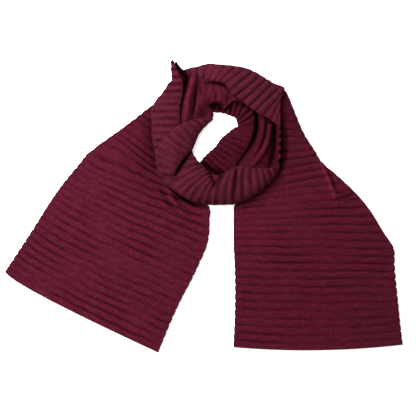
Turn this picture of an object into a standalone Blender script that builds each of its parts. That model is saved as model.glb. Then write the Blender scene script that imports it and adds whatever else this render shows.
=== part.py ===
"""Pleated knit scarf, wound once and a half round an empty neck and laid flat.

The cloth is one strip, 36 cm wide, pleated across its width.  It lies on a table:
+Z is up and +Y runs from the two hems towards the back of the neck.  Each stretch
that shows is a wall of cloth, lofted through a short table of sections; a section
follows one pleat from one edge of the stretch (a) to the other (b).  The layers
that stay out of sight inside the loop share one rounded ring.
"""
import bpy
import bmesh
import numpy as np
from collections import namedtuple

CM = 0.01
CLOTH = 0.0020            # wall of the knitted cloth
PITCH = 0.0163            # from one pleat to the next
DEPTH = 0.0030            # crest to trough of a pleat
HEM = 0.012               # flat band along each hem, before the first pleat
SCALLOP = 0.0012          # how far a free edge swings in and out at each pleat
TABLE = 0.0               # the surface that the scarf lies on

# One section: both edges (x, y, z), how far the middle rises above them, how far a
# rolled edge goes down past its widest point, and the sideways bow of the pleat.
# Centimetres.
Section = namedtuple("Section", "ax ay az bx by bz rise under bow")

# One soft fold: start, middle and end (x, y), its half width and its lift; a trough
# has a negative lift.  Centimetres.
Fold = namedtuple("Fold", "x0 y0 x1 y1 x2 y2 spread lift")

# One place round the hidden ring: direction in degrees, inner and outer radius and
# height.  Centimetres.
Place = namedtuple("Place", "angle inner outer height")

# A stretch: its name, colour, sections, folds, the arc that a section follows in
# degrees (0 is the widest point at edge a, 180 at edge b), pleat depth, faces across
# and which of its edges are free.
Stretch = namedtuple("Stretch", "name colour sections folds arc depth across free")

WINE = (0.115, 0.010, 0.025)
PLUM = (0.080, 0.010, 0.022)

LEFT_TAIL = [
    Section(-41.9, -13.6, 0.28, -9.6, -30.8, 0.28, 0, 0, -1.2),
    Section(-36.2, -5.0, 0.28, -5.5, -20.7, 0.28, 0, 0, -1.1),
    Section(-31.1, 2.9, 0.28, -1.2, -12.4, 0.28, 0, 0, -1.0),
    Section(-26.2, 9.2, 0.28, 1.2, -3.3, 0.28, 0, 0, -1.1),
    Section(-24.1, 11.6, 0.28, 1.0, 0.5, 0.28, 0, 0, -1.1),
    Section(-21.8, 13.7, 0.28, -2.1, 1.7, 0.28, 0, 0, -0.6),
    Section(-18.0, 16.7, 0.28, -7.2, 8.6, 0.28, 0, 0, -0.2),
    Section(-14.4, 19.4, 0.28, -8.2, 14.5, 0.28, 0, 0, 0.0),
    Section(-11.0, 21.5, 0.28, -8.6, 19.2, 0.28, 0, 0, 0.0),
]
LEFT_TAIL_FOLDS = [
    Fold(-7.6, 3.5, -6.7, 0.1, -3.1, -1.4, 0.9, 0.35),
    Fold(-9.3, 4.8, -7.6, 0.1, -3.8, -2.6, 0.8, -0.12),
]
RIGHT_TAIL = [
    Section(6.3, -29.7, 0.28, 42.1, -29.3, 0.28, 0, 0, -1.1),
    Section(6.6, -20.9, 0.28, 41.2, -21.1, 0.28, 0, 0, -0.4),
    Section(6.8, -11.8, 0.28, 40.4, -12.2, 0.28, 0, 0, 0.0),
    Section(6.7, -8.2, 0.28, 40.2, -8.8, 0.28, 0, 0, 0.0),
    Section(6.5, -5.2, 0.28, 38.0, -5.3, 0.28, 0, 0, 0.2),
    Section(6.5, -2.0, 0.28, 34.8, -0.1, 0.28, 0, 0, 0.2),
    Section(6.8, 0.7, 0.32, 31.9, 3.2, 0.28, 0, 0, 0.3),
    Section(10.7, 3.5, 0.5, 28.5, 6.5, 0.4, 0.1, 0, 0.0),
    Section(14.8, 6.8, 0.9, 25.1, 9.2, 0.6, 0.2, 0, 0.0),
    Section(15.9, 10.9, 1.3, 23.7, 11.4, 0.9, 0.2, 0, 0.0),
    Section(15.9, 15.6, 1.6, 21.4, 15.8, 1.3, 0.2, 0, 0.0),
    Section(15.9, 19.8, 1.8, 19.0, 20.0, 1.7, 0.1, 0, 0.0),
    Section(15.4, 22.6, 2.0, 17.6, 23.2, 1.9, 0.1, 0, 0.0),
    Section(14.4, 23.8, 2.0, 16.0, 24.7, 1.9, 0, 0, 0.0),
]
RIGHT_TAIL_FOLDS = [
    Fold(20.4, 6.9, 23.8, 4.3, 28.0, 2.9, 1.2, 0.12),
]
LEFT_BAND = [
    Section(-6.7, 30.8, 2.3, -6.4, 30.7, 2.35, 0, 0.2, 0.0),
    Section(-6.7, 29.4, 2.2, -5.6, 29.3, 2.7, 0.2, 0.9, 0.0),
    Section(-6.7, 27.9, 2.0, -4.7, 27.9, 3.0, 0.5, 1.4, 0.0),
    Section(-6.9, 26.4, 1.8, -4.5, 26.0, 3.1, 0.8, 1.6, 0.0),
    Section(-8.4, 24.5, 1.6, -4.4, 24.3, 3.0, 1.1, 1.1, 0.0),
    Section(-9.9, 22.4, 1.5, -4.8, 22.4, 3.0, 1.3, 0.9, 0.0),
    Section(-10.8, 20.2, 1.5, -5.1, 20.2, 2.9, 1.3, 0.9, 0.0),
    Section(-10.9, 17.5, 1.5, -5.2, 17.5, 2.6, 1.1, 0.9, 0.0),
    Section(-10.8, 14.5, 1.5, -5.7, 14.5, 1.6, 0.9, 0.9, 0.0),
    Section(-10.5, 12.2, 1.35, -7.2, 12.2, 1.2, 0.4, 0.6, 0.0),
    Section(-10.3, 10.7, 1.2, -7.8, 10.7, 1.0, 0.2, 0.3, 0.0),
]
LEFT_ROLL = [
    Section(-7.0, 3.2, 1.5, -6.6, 3.7, 1.8, 0.1, 0.1, 0.0),
    Section(-8.3, 4.8, 1.2, -6.3, 5.2, 2.3, 0.4, 0.5, 0.0),
    Section(-9.4, 6.8, 1.2, -6.1, 6.3, 2.7, 0.8, 0.8, 0.0),
    Section(-10.2, 9.2, 1.8, -5.8, 7.5, 3.2, 1.0, 0.7, 0.0),
    Section(-10.0, 11.8, 2.4, -5.2, 8.9, 3.4, 1.1, 0.7, 0.0),
    Section(-8.7, 14.2, 3.0, -4.1, 10.5, 3.3, 1.1, 0.85, 0.0),
    Section(-6.9, 15.9, 3.3, -2.9, 11.9, 3.0, 1.1, 0.8, 0.0),
    Section(-5.0, 17.3, 3.3, -2.1, 13.7, 2.5, 1.1, 0.7, 0.0),
    Section(-3.4, 17.9, 3.1, -1.2, 15.4, 2.2, 0.9, 0.7, 0.0),
    Section(-1.6, 18.4, 2.7, -0.2, 17.0, 2.0, 0.7, 0.7, 0.0),
    Section(0.1, 18.7, 2.2, 0.9, 17.9, 1.8, 0.4, 0.5, 0.0),
    Section(1.4, 18.9, 1.8, 1.7, 18.6, 1.7, 0.2, 0.3, 0.0),
]
FRONT_ROLL = [
    Section(15.2, 8.3, 2.0, 15.8, 7.3, 1.8, 0.1, 0.2, 0.0),
    Section(14.3, 7.9, 2.4, 14.8, 6.3, 1.7, 0.6, 0.5, 0.0),
    Section(12.3, 7.8, 2.8, 13.1, 4.2, 1.6, 1.4, 1.2, 0.0),
    Section(10.2, 8.1, 3.1, 10.9, 2.5, 1.7, 1.9, 1.45, 0.0),
    Section(8.5, 8.2, 3.2, 8.5, 1.0, 1.8, 2.2, 1.3, -0.3),
    Section(6.8, 8.4, 3.2, 6.2, 0.6, 1.8, 2.3, 1.8, -0.6),
    Section(5.4, 8.0, 3.2, 3.9, 0.4, 1.8, 2.3, 1.9, -0.8),
    Section(4.1, 7.0, 3.2, 1.3, 0.3, 1.8, 2.2, 1.4, -1.0),
    Section(3.2, 6.5, 3.2, -1.0, 0.6, 1.8, 2.0, 1.3, -0.8),
    Section(2.2, 6.5, 2.9, -3.3, 1.3, 1.7, 1.9, 1.2, -0.6),
    Section(1.1, 7.3, 2.4, -5.2, 2.4, 1.6, 1.5, 1.0, -0.3),
    Section(0.1, 8.3, 2.0, -6.7, 3.7, 1.4, 0.9, 0.8, 0.0),
    Section(-1.1, 9.2, 1.6, -7.6, 5.4, 1.2, 0.6, 0.6, 0.0),
    Section(-2.1, 10.5, 1.4, -7.3, 7.0, 1.1, 0.5, 0.3, 0.0),
    Section(-2.7, 11.7, 1.3, -6.4, 8.5, 1.1, 0.4, 0.2, 0.0),
]
FRONT_ROLL_FOLDS = [
    Fold(0.7, 7.7, 1.5, 6.0, 3.0, 4.1, 0.5, -0.5),
]
TOP_BAND = [
    Section(-4.3, 28.0, 1.85, -3.3, 27.2, 2.8, 0.4, 0.85, 0.0),
    Section(-2.9, 29.0, 1.9, -2.1, 27.1, 3.1, 0.8, 1.7, 0.0),
    Section(-1.2, 29.7, 1.9, -1.0, 27.0, 3.3, 1.1, 2.1, 0.0),
    Section(0.9, 30.1, 1.9, 0.3, 26.7, 3.4, 1.3, 2.1, 0.0),
    Section(3.7, 30.1, 1.9, 2.0, 26.6, 3.4, 1.4, 2.1, 0.0),
    Section(6.6, 29.6, 1.9, 4.1, 26.1, 3.4, 1.5, 2.1, 0.0),
    Section(9.2, 28.9, 1.9, 5.4, 24.3, 3.5, 1.5, 2.1, 0.0),
    Section(11.7, 27.9, 1.9, 7.3, 22.8, 3.5, 1.5, 2.1, 0.0),
    Section(13.8, 26.5, 2.0, 9.6, 21.0, 3.5, 1.4, 1.4, 0.0),
    Section(15.6, 25.5, 2.6, 12.1, 19.5, 3.5, 1.0, 0.3, 0.0),
    Section(16.9, 24.7, 3.1, 13.7, 18.6, 3.5, 0.6, 0.1, 0.0),
    Section(16.2, 22.6, 3.4, 14.9, 17.7, 3.5, 0.3, 0.1, 0.0),
    Section(16.1, 20.0, 3.5, 15.7, 17.3, 3.5, 0.1, 0, 0.0),
    Section(16.2, 18.1, 3.5, 16.1, 17.1, 3.5, 0, 0, 0.0),
]
STANDING_EDGE = [
    Section(15.4, 17.1, 2.7, 16.1, 17.2, 3.28, 0, 0, 0.0),
    Section(15.1, 14.9, 2.3, 16.2, 14.9, 3.6, 0, 0, 0.0),
    Section(15.0, 12.4, 2.2, 16.2, 12.4, 3.5, 0, 0, 0.0),
    Section(14.9, 9.9, 2.3, 16.0, 9.9, 3.2, 0, 0, 0.0),
    Section(14.8, 8.5, 2.6, 15.7, 7.7, 2.9, 0, 0, 0.0),
]
RIGHT_FOLDS = [
    Section(10.8, 21.3, 1.0, 15.2, 20.0, 1.6, 0.6, 0, 0.0),
    Section(11.0, 18.8, 0.8, 15.4, 17.5, 1.4, 0.8, 0, 0.0),
    Section(11.0, 16.0, 0.68, 15.4, 14.9, 1.3, 0.8, 0, 0.0),
    Section(10.4, 13.7, 0.66, 15.2, 12.4, 1.2, 0.8, 0, 0.0),
    Section(9.2, 11.6, 0.7, 14.7, 9.9, 1.2, 0.7, 0, 0.0),
    Section(7.7, 9.4, 0.7, 13.2, 7.7, 1.0, 0.5, 0, 0.0),
    Section(6.0, 8.0, 0.6, 11.3, 6.3, 0.8, 0.3, 0, 0.0),
]
RIGHT_FOLDS_FOLDS = [
    Fold(12.3, 20.9, 13.0, 14.1, 8.3, 8.4, 0.9, 0.6),
    Fold(13.8, 19.2, 14.7, 13.2, 11.1, 8.4, 0.8, 0.5),
]
RIGHT_ROLL = [
    Section(0.1, 22.4, 0.8, 1.2, 19.6, 0.6, 0.2, 0.3, 0.0),
    Section(1.7, 22.7, 0.9, 2.1, 20.0, 0.7, 0.2, 0.4, 0.0),
    Section(3.7, 22.6, 0.9, 3.7, 19.9, 0.8, 0.3, 0.5, 0.0),
    Section(5.8, 22.4, 1.0, 5.4, 19.5, 0.9, 0.5, 0.6, 0.0),
    Section(7.9, 21.9, 1.4, 6.6, 19.0, 1.1, 0.8, 0.7, 0.0),
    Section(10.0, 20.6, 1.9, 7.2, 18.1, 1.2, 0.9, 0.8, 0.0),
    Section(11.3, 18.4, 2.1, 7.4, 16.9, 1.2, 0.9, 0.9, 0.0),
    Section(11.4, 16.0, 2.1, 6.7, 16.6, 1.2, 0.9, 0.9, 0.0),
    Section(10.9, 13.7, 2.0, 5.4, 15.5, 1.2, 0.9, 0.9, 0.0),
    Section(9.6, 11.6, 1.8, 4.0, 14.1, 1.1, 0.9, 0.9, 0.0),
    Section(8.0, 9.5, 1.6, 2.8, 12.5, 1.1, 0.8, 0.8, 0.0),
    Section(6.1, 8.3, 1.3, 1.5, 11.3, 1.1, 0.7, 0.7, 0.0),
    Section(4.2, 7.2, 1.0, 0.3, 10.2, 0.9, 0.5, 0.6, 0.0),
    Section(2.0, 6.0, 0.6, -1.3, 8.6, 0.6, 0.2, 0.3, 0.0),
]
BACK_LAYER = [
    Section(13.6, 24.1, 2.4, 11.5, 20.2, 2.4, 0.1, 0.8, 0.0),
    Section(11.7, 25.9, 2.5, 9.2, 21.3, 2.5, 0.1, 1.0, 0.0),
    Section(9.2, 27.3, 2.5, 7.0, 21.3, 2.4, 0.1, 1.1, 0.0),
    Section(6.4, 28.4, 2.5, 5.0, 21.0, 1.9, 0.1, 1.1, 0.0),
    Section(3.7, 28.9, 2.5, 3.2, 21.2, 1.6, 0.1, 1.1, 0.0),
    Section(0.9, 28.9, 2.4, 1.6, 21.6, 1.4, 0.1, 1.1, 0.0),
    Section(-1.6, 28.5, 2.1, 0.8, 20.5, 1.2, 0.1, 1.0, 0.0),
    Section(-3.6, 27.9, 1.4, 0.6, 19.1, 1.2, 0.1, 0.8, 0.0),
    Section(-4.5, 25.5, 1.4, -0.5, 18.1, 1.2, 0.1, 0.4, 0.0),
    Section(-4.9, 22.6, 1.3, -1.6, 17.5, 1.2, 0.1, 0.3, 0.0),
    Section(-5.1, 19.8, 1.2, -2.7, 16.9, 1.2, 0.1, 0.2, 0.0),
    Section(-5.1, 17.5, 1.1, -3.6, 16.0, 1.1, 0.1, 0.2, 0.0),
]
BACK_LAYER_FOLDS = [
    Fold(-2.1, 28.1, -3.8, 23.6, -4.2, 17.5, 0.9, 0.6),
    Fold(-1.9, 26.0, -3.3, 22.6, -2.5, 17.9, 0.8, -0.7),
    Fold(2.8, 24.7, 3.9, 22.6, 4.3, 20.5, 0.9, 0.5),
]
RING_CENTRE = (3.2, 14.1)
RING = [
    Place(0, 8.9, 10.8, 0.88),
    Place(30, 9.1, 10.8, 0.72),
    Place(60, 9.3, 11.4, 0.9),
    Place(90, 9.5, 13.6, 1.2),
    Place(112, 9.5, 14.8, 0.97),
    Place(132, 8.9, 12.7, 0.8),
    Place(155, 8.1, 10.6, 0.7),
    Place(180, 7.8, 10.4, 0.9),
    Place(210, 8.3, 10.6, 1.13),
    Place(235, 8.9, 11.4, 1.3),
    Place(262, 9.1, 11.9, 2.3),
    Place(282, 9.3, 11.9, 1.6),
    Place(305, 9.8, 11.4, 0.7),
    Place(330, 8.9, 10.6, 0.6),
]
STRETCHES = [
    Stretch("left_tail", WINE, LEFT_TAIL, LEFT_TAIL_FOLDS, (80, 100), DEPTH, 5, ('hem', 'a', 'b')),
    Stretch("right_tail", PLUM, RIGHT_TAIL, RIGHT_TAIL_FOLDS, (80, 100), DEPTH, 5, ('hem', 'a', 'b')),
    Stretch("left_band", PLUM, LEFT_BAND, [], (-50, 150), DEPTH, 6, ()),
    Stretch("left_roll", PLUM, LEFT_ROLL, [], (-40, 200), DEPTH, 7, ()),
    Stretch("front_roll", PLUM, FRONT_ROLL, FRONT_ROLL_FOLDS, (-20, 220), DEPTH, 7, ()),
    Stretch("top_band", PLUM, TOP_BAND, [], (-50, 150), DEPTH, 7, ('b',)),
    Stretch("standing_edge", WINE, STANDING_EDGE, [], (80, 100), DEPTH, 2, ('b',)),
    Stretch("right_folds", WINE, RIGHT_FOLDS, RIGHT_FOLDS_FOLDS, (15, 165), 0.001, 10, ()),
    Stretch("right_roll", WINE, RIGHT_ROLL, [], (-20, 220), DEPTH, 6, ()),
    Stretch("back_layer", WINE, BACK_LAYER, BACK_LAYER_FOLDS, (-40, 110), 0.001, 8, ()),
]


def spread_sections(sections, spacing):
    """The section table read off smoothly, at even distances along the cloth."""
    table = np.array(sections, float) * CM
    middle = (table[:, 0:3] + table[:, 3:6]) / 2
    steps = np.linalg.norm(np.diff(middle, axis=0), axis=1)
    knots = np.concatenate([[0.0], np.cumsum(steps)])
    slopes = np.gradient(table, knots, axis=0)
    count = 2 * max(2, round(knots[-1] / spacing / 2)) + 1
    along = np.linspace(0.0, knots[-1], count)
    left = np.clip(np.searchsorted(knots, along, "right") - 1, 0, len(knots) - 2)
    gap = (knots[left + 1] - knots[left])[:, None]
    t = (along - knots[left])[:, None] / gap
    rows = ((2 * t**3 - 3 * t**2 + 1) * table[left]
            + (t**3 - 2 * t**2 + t) * gap * slopes[left]
            + (3 * t**2 - 2 * t**3) * table[left + 1]
            + (t**3 - t**2) * gap * slopes[left + 1])
    return along, rows


def base_surface(rows, arc, across):
    """Points of the unpleated cloth, as an array of rows by columns by xyz."""
    start, stop = np.radians(arc)
    angle = np.linspace(start, stop, across + 1)
    inside = np.clip(angle, 0.0, np.pi)
    low = (1 - np.cos(max(start, 0.0))) / 2
    high = (1 - np.cos(min(stop, np.pi))) / 2
    part = ((1 - np.cos(angle)) / 2 - low) / (high - low)
    chord = np.sin(inside[0]) + (np.sin(inside[-1]) - np.sin(inside[0])) * part
    lift = np.sin(inside) - chord
    drop = np.sin(np.clip(angle, -np.pi, 0.0)) + np.sin(np.clip(np.pi - angle, -np.pi, 0.0))
    a = rows[:, None, 0:3]
    b = rows[:, None, 3:6]
    part = part[None, :, None]
    points = a + (b - a) * part
    points[:, :, 2] += rows[:, 6:7] * lift + rows[:, 7:8] * drop
    line = (b - a)[:, :, 0:2]
    forward = np.stack([-line[:, :, 1], line[:, :, 0]], axis=2)
    forward /= np.linalg.norm(forward, axis=2, keepdims=True) + 1e-9
    points[:, :, 0:2] += forward * rows[:, None, 8:9] * 4 * part * (1 - part)
    return points


def add_folds(points, folds):
    """Soft ridges and troughs along curves laid down in the table's plane."""
    t = np.linspace(0.0, 1.0, 25)[:, None]
    for fold in folds:
        start, middle, end = np.array(fold[:6]).reshape(3, 2) * CM
        curve = (1 - t)**2 * start + 2 * t * (1 - t) * middle + t**2 * end
        reach = np.linalg.norm(points[:, :, None, 0:2] - curve, axis=3)
        nearest = reach.argmin(axis=2)
        taper = np.sin(np.pi * np.clip(t[nearest, 0], 0.02, 0.98))**0.5
        soft = np.exp(-(reach.min(axis=2) / (fold.spread * CM))**2)
        points[:, :, 2] += fold.lift * CM * soft * taper


def normals_of(points):
    """Upward normals of a surface given as rows by columns by xyz."""
    along = np.gradient(points, axis=0)
    over = np.gradient(points, axis=1)
    normal = np.cross(over, along)
    return normal / (np.linalg.norm(normal, axis=2, keepdims=True) + 1e-12)


def pleat(points, along, stretch):
    """Folds the cloth into pleats: one row of points is a crest, the next a trough."""
    wave = np.where(np.arange(len(along)) % 2, 1.0, -1.0)
    if "hem" in stretch.free:
        wave = wave * np.clip((along - HEM) / PITCH, 0.0, 1.0)
    points += normals_of(points) * (wave * stretch.depth / 2)[:, None, None]
    outward = points[:, -1] - points[:, 0]
    outward /= np.linalg.norm(outward, axis=1, keepdims=True)
    swing = outward * (wave * SCALLOP)[:, None]
    if "a" in stretch.free:
        points[:, 0] -= swing
    if "b" in stretch.free:
        points[:, -1] += swing


def material(name, colour):
    """Matt wool in one colour."""
    wool = bpy.data.materials.new(name)
    wool.use_nodes = True
    surface = wool.node_tree.nodes["Principled BSDF"]
    surface.inputs["Base Color"].default_value = (*colour, 1.0)
    surface.inputs["Roughness"].default_value = 0.9
    surface.inputs["Metallic"].default_value = 0.0
    wool.diffuse_color = (*colour, 1.0)
    return wool


def add_object(name, mesh, colour, collection):
    """Puts a finished mesh in the scarf's collection with a material of its own."""
    mesh.materials.append(material(name + "_wool", colour))
    piece = bpy.data.objects.new(name, mesh)
    collection.objects.link(piece)
    return piece


def build_stretch(stretch, collection):
    """One stretch of cloth: a shaped grid, thickened to the wall of the knit."""
    along, rows = spread_sections(stretch.sections, PITCH / 2)
    points = base_surface(rows, stretch.arc, stretch.across)
    add_folds(points, stretch.folds)
    pleat(points, along, stretch)
    grid = bmesh.new()
    bmesh.ops.create_grid(grid, x_segments=stretch.across, y_segments=len(along) - 1, size=1.0)
    for vert in grid.verts:
        column = round((vert.co.x + 1) / 2 * stretch.across)
        row = round((vert.co.y + 1) / 2 * (len(along) - 1))
        vert.co = points[row, column]
    mesh = bpy.data.meshes.new(stretch.name)
    grid.to_mesh(mesh)
    grid.free()
    piece = add_object(stretch.name, mesh, stretch.colour, collection)
    wall = piece.modifiers.new("cloth wall", "SOLIDIFY")
    wall.thickness = CLOTH
    wall.offset = 0.0
    return piece


def build_hidden_ring(places, centre, collection):
    """The layers inside the loop: a rounded ring, flat where it rests on the table."""
    sides = 10
    angles = np.radians([place.angle for place in places])
    ring = bmesh.new()
    loops = []
    for place, angle in zip(places, angles):
        middle = (place.inner + place.outer) / 2 * CM
        half = (place.outer - place.inner) / 2 * CM
        loop = []
        for side in range(sides):
            turn = 2 * np.pi * (side + 0.5) / sides - np.pi / 2
            radius = middle + half * np.cos(turn) / np.cos(np.pi / sides)
            height = place.height * CM * (0.5 + 0.5 * np.sin(turn) / np.cos(np.pi / sides))
            x = centre[0] * CM + radius * np.cos(angle)
            y = centre[1] * CM + radius * np.sin(angle)
            loop.append(ring.verts.new((x, y, TABLE + height)))
        loops.append(loop)
    for here, there in zip(loops, loops[1:] + loops[:1]):
        for side in range(sides):
            after = (side + 1) % sides
            ring.faces.new((here[side], there[side], there[after], here[after]))
    bmesh.ops.recalc_face_normals(ring, faces=ring.faces)
    mesh = bpy.data.meshes.new("hidden_layers")
    ring.to_mesh(mesh)
    ring.free()
    return add_object("hidden_layers", mesh, WINE, collection)


def main():
    for thing in list(bpy.data.objects):
        bpy.data.objects.remove(thing)
    scarf = bpy.data.collections.new("pleated_scarf")
    bpy.context.scene.collection.children.link(scarf)
    for stretch in STRETCHES:
        build_stretch(stretch, scarf)
    build_hidden_ring(RING, RING_CENTRE, scarf)


main()
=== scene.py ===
"""Pleated knit scarf, wound round an empty neck and laid flat on a pale table.

The cloth is one long strip, pleated across its width.  Each stretch of it that
shows is a thin wall of knit on the form of its solid, with its own pleats, creases
and rolled edges; the layers inside the loop are one piece.
"""
import bpy
import bmesh
import math
import numpy as np
from collections import namedtuple
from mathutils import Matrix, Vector


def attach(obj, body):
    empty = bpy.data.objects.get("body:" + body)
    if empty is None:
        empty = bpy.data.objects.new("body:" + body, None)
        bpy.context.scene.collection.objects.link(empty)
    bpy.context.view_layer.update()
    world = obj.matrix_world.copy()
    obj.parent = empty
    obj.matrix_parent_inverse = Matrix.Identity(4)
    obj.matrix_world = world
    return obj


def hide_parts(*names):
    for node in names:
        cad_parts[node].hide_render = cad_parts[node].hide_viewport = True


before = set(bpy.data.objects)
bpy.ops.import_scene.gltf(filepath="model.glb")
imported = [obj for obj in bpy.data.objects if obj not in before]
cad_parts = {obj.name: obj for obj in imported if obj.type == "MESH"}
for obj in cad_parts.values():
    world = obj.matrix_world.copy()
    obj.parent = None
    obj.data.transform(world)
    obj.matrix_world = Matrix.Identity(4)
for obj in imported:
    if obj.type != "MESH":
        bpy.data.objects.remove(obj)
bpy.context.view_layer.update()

# Left tail.
# One end of the strip, spread flat: 36 cm wide, a plain hem band, then soft pleats
# that fan a little towards the neck.  Brushed burgundy knit, free on three sides.
CM = 0.01
KNIT_WALL = 0.0020         # thickness of the knitted cloth
EDGE_WALL = 0.45           # share of that thickness that a free edge keeps
ALONG = 0.0015             # distance between the points of the mesh along the cloth
PITCH = 0.0163             # from one pleat to the next where the cloth lies smooth
HEM = 0.0135               # from the end of a tail to its first valley
FAINTEST = 0.12            # the weakest that a pleat gets, as a share of its depth
STRONGEST = 1.5            # the strongest that it gets
VALLEY_PAINTED_SHADE = 190.0        # how dark a valley is, for each metre of its depth
SCALLOP_REACH = 0.006      # how far in from an edge its scallops are felt
WALE = 0.0024              # width of one column of stitches
COURSE = 0.0019            # height of one row of stitches
WINE = (0.0342, 0.0034, 0.0079)
NAP_TINT = (0.90, 0.32, 0.45, 1.0)

# A section follows one pleat line from edge a to edge b: both edges, how far the
# middle rises above them, how far a rolled edge goes down past its widest point, and
# the sideways bow of the line.  Centimetres.
Section = namedtuple("Section", "ax ay az bx by bz rise under bow")

# A crease: start, middle and end (x, y), half widths to the left and right of its way,
# and its lift, negative for a trough, all in centimetres; and its painted shade, from 1
# down to -1 for a painted highlight.
Fold = namedtuple("Fold", "x0 y0 x1 y1 x2 y2 left right lift dark")

# How a stretch is pleated, in metres: from one valley to the next, the first valley's
# distance from the first section, depth, half width of a valley, how unevenly the
# pleats are pressed from 0 to 1, how far their lines stray, the number that varies
# them, and the length over which they die away towards the last section, which is
# next to nothing unless it is given.
Pleats = namedtuple("Pleats", "pitch first depth valley uneven stray vary calm",
                    defaults=(0.0001,))


def read_sections(sections, step):
    """Reads a table of sections off smoothly, at even steps along the cloth."""
    table = np.array(sections, float) * CM
    middle = (table[:, 0:3] + table[:, 3:6]) / 2
    knots = np.concatenate([[0.0], np.cumsum(np.linalg.norm(np.diff(middle, axis=0), axis=1))])
    slopes = np.gradient(table, knots, axis=0)
    along = np.linspace(0.0, knots[-1], round(knots[-1] / step) + 1)
    left = np.clip(np.searchsorted(knots, along, "right") - 1, 0, len(knots) - 2)
    gap = (knots[left + 1] - knots[left])[:, None]

    # A cubic curve from each section to the next, with t going from 0 to 1.
    t = (along - knots[left])[:, None] / gap
    rows = ((2 * t**3 - 3 * t**2 + 1) * table[left] + (t**3 - 2 * t**2 + t) * gap * slopes[left]
            + (3 * t**2 - 2 * t**3) * table[left + 1] + (t**3 - t**2) * gap * slopes[left + 1])
    return along, rows


def unpleated(rows, arc, columns, lean):
    """The smooth cloth before it is pleated, as rows by columns by xyz.

    A section follows its arc in degrees: 0 is the widest point at edge a and 180 that
    at edge b, so a rolled edge starts below 0 or ends past 180.  A lean under 1 puts
    the deepest place of the bow nearer to edge a.
    """
    edge_a, edge_b = rows[:, None, 0:3], rows[:, None, 3:6]
    rise, under, bow = rows[:, 6:7], rows[:, 7:8], rows[:, None, 8:9]
    start, stop = np.radians(arc)
    angle = np.linspace(start, stop, columns + 1)
    inside = np.clip(angle, 0.0, np.pi)
    low = (1 - np.cos(max(start, 0.0))) / 2
    high = (1 - np.cos(min(stop, np.pi))) / 2
    part = ((1 - np.cos(angle)) / 2 - low) / (high - low)
    chord = np.sin(inside[0]) + (np.sin(inside[-1]) - np.sin(inside[0])) * part
    lift = np.sin(inside) - chord

    # The edge that lies higher goes down further before it is tucked under.
    higher = edge_a[:, :, 2] - edge_b[:, :, 2]
    drop_a = under + np.maximum(higher, 0.0) / 2
    drop_b = under + np.maximum(-higher, 0.0) / 2
    drop = (drop_a * np.sin(np.clip(angle, -np.pi, 0.0))
            + drop_b * np.sin(np.clip(np.pi - angle, -np.pi, 0.0)))

    # Each section is a straight line with its arc on it, bowed sideways.
    part = part[None, :, None]
    line = edge_b - edge_a
    points = edge_a + line * part
    points[:, :, 2] += rise * lift + drop
    forward = np.stack([-line[:, :, 1], line[:, :, 0]], axis=2)
    forward /= np.linalg.norm(forward, axis=2, keepdims=True) + 1e-9
    points[:, :, 0:2] += forward * bow * 4 * part**lean * (1 - part**lean)
    return points


def uneven(u, v, size, vary):
    """Smooth unevenness from -1 to 1, with a swell about every `size` metres.

    The pattern repeats after `count` swells.
    """
    count = 61
    lattice = np.random.default_rng(vary).uniform(-1.0, 1.0, (count, count))
    u, v = u / size, v / size
    row, column = np.floor(u).astype(int), np.floor(v).astype(int)
    s, t = u - row, v - column
    s, t = s * s * (3 - 2 * s), t * t * (3 - 2 * t)
    row, column = row % count, column % count
    next_row, next_column = (row + 1) % count, (column + 1) % count
    near = lattice[row, column] * (1 - t) + lattice[row, next_column] * t
    far = lattice[next_row, column] * (1 - t) + lattice[next_row, next_column] * t
    return near * (1 - s) + far * s


def pleat_lift(u, v, press):
    """Lift of the pleats, and how deep in a valley each point lies, from 0 to 1.

    u is the length along the cloth and v the length across it.  Half of a pleat's
    depth is a narrow valley, and the rest a round wave that stays where it is faint.
    """
    # The line of a pleat strays in long swells, and a little in short ones.
    stray = uneven(u, v, 0.05, press.vary) + 0.4 * uneven(u, v, 0.018, press.vary + 1)
    place = (u - press.first + press.stray * stray) / press.pitch
    number = np.round(place)
    away = (place - number) * press.pitch

    # Each pleat is pressed hard in some places and hardly in others.
    mood = uneven(number * 0.021, v, 0.055, press.vary + 2)
    mood = mood + 0.5 * uneven(number * 0.05, v, 0.02, press.vary + 3)
    strength = np.clip(1.0 + press.uneven * (mood - 0.25), FAINTEST, STRONGEST)
    valley = np.exp(-(away / press.valley)**2)
    wave = np.cos(2 * np.pi * (place - number))

    # The cloth is plain up to the first valley, and calms down at the far end.
    plain = press.first / 4
    fade = np.clip((u - plain) / (3 * plain + 1e-6), 0.0, 1.0)
    fade = fade * np.clip(0.15 + (u.max() - u) / press.calm, 0.0, 1.0)

    narrow = 0.5 * valley * strength
    rounded = 0.27 * wave * (0.35 + 0.65 * strength)
    lift = -press.depth * (narrow + rounded) * fade
    return lift, np.clip(valley * strength * fade, 0.0, 1.0)


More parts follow.
